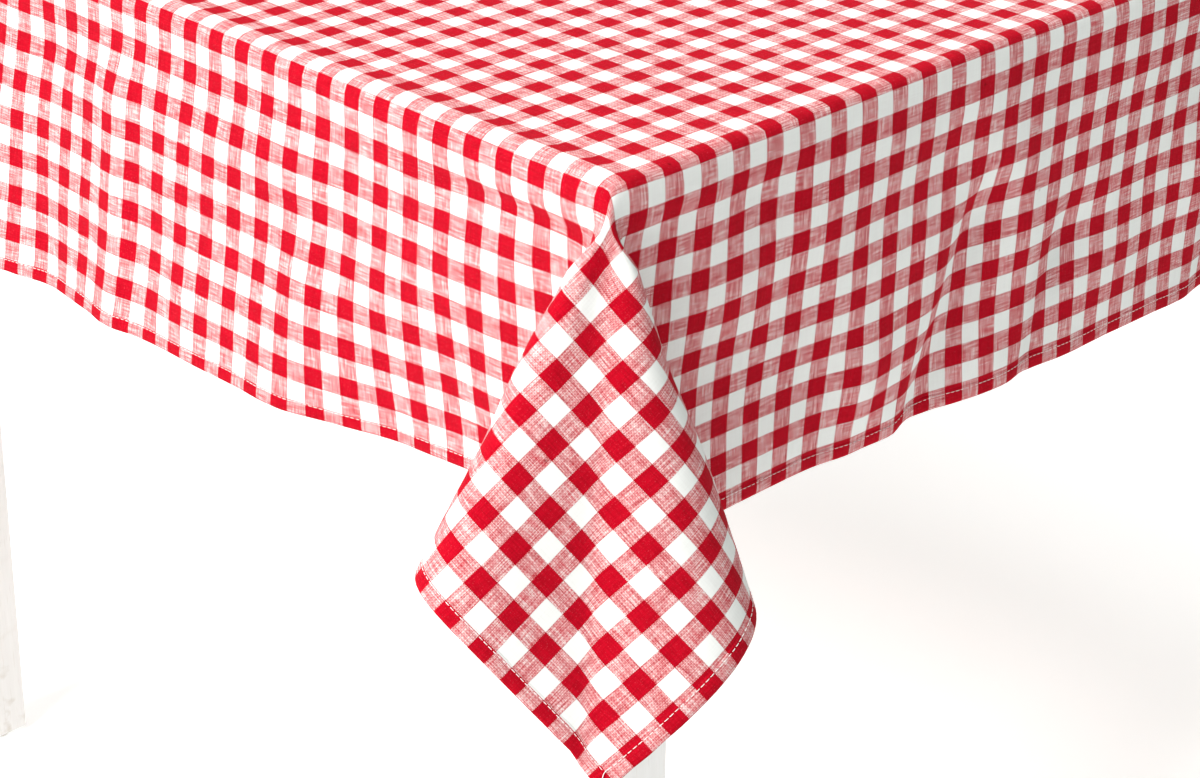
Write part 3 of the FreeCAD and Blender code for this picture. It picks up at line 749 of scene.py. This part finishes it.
def painted_wood(name, grain_axis):
    """White-painted wood: brush strokes along the grain, faint pores, hand marks and dusty scuffs near the floor."""
    s = Shader(name, Specular_IOR_Level=0.45)
    place = s.object_place()
    squeeze = [0.05 if axis == grain_axis else 1.0 for axis in "XYZ"]
    along_grain = s.node("Mapping", {"Vector": place, "Scale": squeeze}).outputs[0]
    strokes = s.noise(along_grain, 260.0, 3.0, 0.3)
    pores = s.spread(s.noise(along_grain, 700.0, 2.0), 0.62, 0.72)
    cloudy = s.noise(place, 7.0, 4.0)
    scuffs = s.spread(s.noise(place, 55.0, 5.0), 0.60, 0.72)
    low_down = s.spread(s.node("SeparateXYZ", {"Vector": place}).outputs["Z"], 0.0, 0.12, 1.0, 0.0)
    colour = s.ramp(s.maths("ADD", s.maths("MULTIPLY", strokes, 0.5), s.maths("MULTIPLY", cloudy, 0.5)), (
        (0.30, PAINT_SHADE), (0.65, PAINT),
    ))
    colour = s.tinted(colour, s.maths("MULTIPLY", pores, 0.35), (0.80, 0.76, 0.70))
    colour = s.tinted(colour, s.maths("MULTIPLY", scuffs, s.maths("ADD", low_down, 0.15)), (0.82, 0.79, 0.74))
    height = s.maths("SUBTRACT", strokes, s.maths("MULTIPLY", pores, 0.6))
    return s.finish(colour, s.spread(cloudy, 0.3, 0.7, 0.30, 0.46), height, 0.10 * MM, 0.5)


def metal(name, light, dark, grain_scale, roughness_range):
    """Plated steel: small crystals, rubbed streaks and dulled patches."""
    s = Shader(name, Metallic=1.0)
    place = s.object_place()
    crystals = s.node("TexVoronoi", {"Vector": place, "Scale": grain_scale}).outputs["Color"]
    spangle = s.node("SeparateColor", {"Color": crystals}).outputs[0]
    streaks = s.noise(s.node("Mapping", {"Vector": place, "Scale": (60, 60, 900)}).outputs[0], 1.0, 3.0)
    tone = s.maths("MULTIPLY_ADD", streaks, 0.5, s.maths("MULTIPLY", spangle, 0.5))
    colour = s.ramp(tone, ((0.15, dark), (0.8, light)))
    tarnish = s.spread(s.noise(place, 70.0, 4.0), 0.52, 0.7)
    colour = s.tinted(colour, tarnish, (0.66, 0.62, 0.58))
    roughness = s.maths("ADD", s.spread(tone, 0.2, 0.8, *roughness_range), s.maths("MULTIPLY", tarnish, 0.15))
    return s.finish(colour, roughness, tone, 0.04 * MM, 0.4)


def nylon():
    """Moulded off-white nylon, scuffed and dusty where it slides on the floor."""
    s = Shader("glide_nylon", Subsurface_Weight=0.08, Subsurface_Scale=2 * MM, Specular_IOR_Level=0.45)
    place = s.object_place()
    grain = s.noise(place, 1400.0, 2.0)
    height = s.node("SeparateXYZ", {"Vector": place}).outputs["Z"]
    low_down = s.spread(height, 0.0, 4 * MM, 1.0, 0.0)
    dust = s.maths("MULTIPLY", low_down, s.spread(s.noise(place, 160.0, 4.0), 0.35, 0.6))
    colour = s.ramp(grain, ((0.2, (0.66, 0.64, 0.59)), (0.8, (0.78, 0.76, 0.71))))
    colour = s.tinted(colour, dust, (0.55, 0.50, 0.44))
    return s.finish(colour, s.spread(dust, 0, 1, 0.42, 0.75), grain, 0.03 * MM, 0.4)


def floor_paint():
    """Plain pale matt floor."""
    s = Shader("pale_floor", Specular_IOR_Level=0.1, Emission_Color=(1.0, 1.0, 1.0, 1.0), Emission_Strength=0.52)
    patch = s.noise(s.object_place(), 1.5, 2.0)
    colour = s.ramp(patch, ((0.3, (0.84, 0.84, 0.84)), (0.7, (0.86, 0.86, 0.86))))
    return s.finish(colour, s.spread(patch, 0, 1, 0.85, 0.95), patch, 0.02 * MM, 0.1)


def dress(nodes, material):
    """Gives CAD nodes a material in all their slots."""
    for name in nodes:
        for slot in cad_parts[name].material_slots:
            slot.material = material


gingham_material = gingham()
for piece in [cloth] + hems:
    piece.data.materials.append(gingham_material)
thread_material = sewing_thread()
for piece in seams:
    piece.data.materials.append(thread_material)

dress(["table_top"], wood("top_boards", BEECH, "X", boards=True))
dress(["leg_" + corner for corner in CORNERS], painted_wood("leg_paint", "Z"))
dress(["apron_front", "apron_back"], painted_wood("long_apron_paint", "X"))
dress(["apron_left", "apron_right"], painted_wood("side_apron_paint", "Y"))
dress(["apron_dowels"], wood("dowel_birch", BIRCH, "X"))
bracket_steel = metal("bracket_steel", (0.58, 0.58, 0.57), (0.40, 0.40, 0.40), 160.0, (0.30, 0.45))
dress(["corner_bracket_" + corner for corner in CORNERS], bracket_steel)
dress(["top_clip_%s_%d" % (side, k) for side in SIDES for k in (1, 2)], bracket_steel)
zinc = metal("zinc_plate", (0.72, 0.73, 0.72), (0.50, 0.52, 0.54), 420.0, (0.22, 0.36))
dress(["hanger_bolts", "bolt_washers", "wing_nuts", "bracket_screws", "clip_apron_screws", "clip_top_screws"], zinc)
dress(["glide_" + corner for corner in CORNERS], nylon())

# --- what each piece moves with, and the frame's cloth parts that are hidden -------------------------------

CLOTH_NODES = ["cloth_top_panel"] + ["cloth_drop_" + side for side in SIDES]
CLOTH_NODES += ["cloth_corner_%s_%s" % (kind, corner) for kind in ("fold", "cap") for corner in CORNERS]
for piece in [cloth] + hems + seams:
    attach(piece, "tablecloth")
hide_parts(*CLOTH_NODES)

# --- floor, light and camera -------------------------------------------------------------------------------

FLOOR_SIZE = 14.0
FLOOR_CELLS = 8


def floor():
    """A pale floor under the table."""
    mesh = bpy.data.meshes.new("floor")
    work = bmesh.new()
    bmesh.ops.create_grid(work, x_segments=FLOOR_CELLS, y_segments=FLOOR_CELLS, size=FLOOR_SIZE / 2)
    work.to_mesh(mesh)
    work.free()
    piece = new_piece("floor", mesh)
    piece.data.materials.append(floor_paint())
    return piece


def area_light(name, place, target, size, power, colour):
    data = bpy.data.lights.new(name, "AREA")
    data.shape = "DISK"
    data.size = size
    data.energy = power
    data.color = colour
    light = bpy.data.objects.new(name, data)
    scene.collection.objects.link(light)
    light.location = place
    light.rotation_euler = (Vector(target) - Vector(place)).to_track_quat("-Z", "Y").to_euler()
    return light


floor()
CENTRE = (0.0, 0.0, 0.6)
area_light("key_light", (-3.7, -0.25, 3.0), CENTRE, 2.0, 240.0, (1.0, 0.955, 0.95))
area_light("top_light", (-0.6, 0.4, 4.2), CENTRE, 3.0, 115.0, (1.0, 0.98, 0.975))

world = bpy.data.worlds.new("studio")
world.use_nodes = True
world.node_tree.nodes["Background"].inputs["Color"].default_value = (0.90, 1.0, 0.965, 1.0)
world.node_tree.nodes["Background"].inputs["Strength"].default_value = 0.33
scene.world = world
scene.view_settings.view_transform = "Standard"

CAMERA_PLACE = (-1.3163, -1.3632, 1.2926)
CAMERA_TURN = 43.28
CAMERA_DOWN = 26.98
CAMERA_ROLL = -0.33
CAMERA_LENS = 81.2

camera = bpy.data.objects.new("camera", bpy.data.cameras.new("camera"))
scene.collection.objects.link(camera)
camera.data.lens = CAMERA_LENS
camera.data.sensor_width = 36.0
camera.matrix_world = (
    Matrix.Translation(CAMERA_PLACE)
    @ Matrix.Rotation(math.radians(-CAMERA_TURN), 4, "Z")
    @ Matrix.Rotation(math.radians(90 - CAMERA_DOWN), 4, "X")
    @ Matrix.Rotation(math.radians(CAMERA_ROLL), 4, "Z")
)
scene.camera = camera
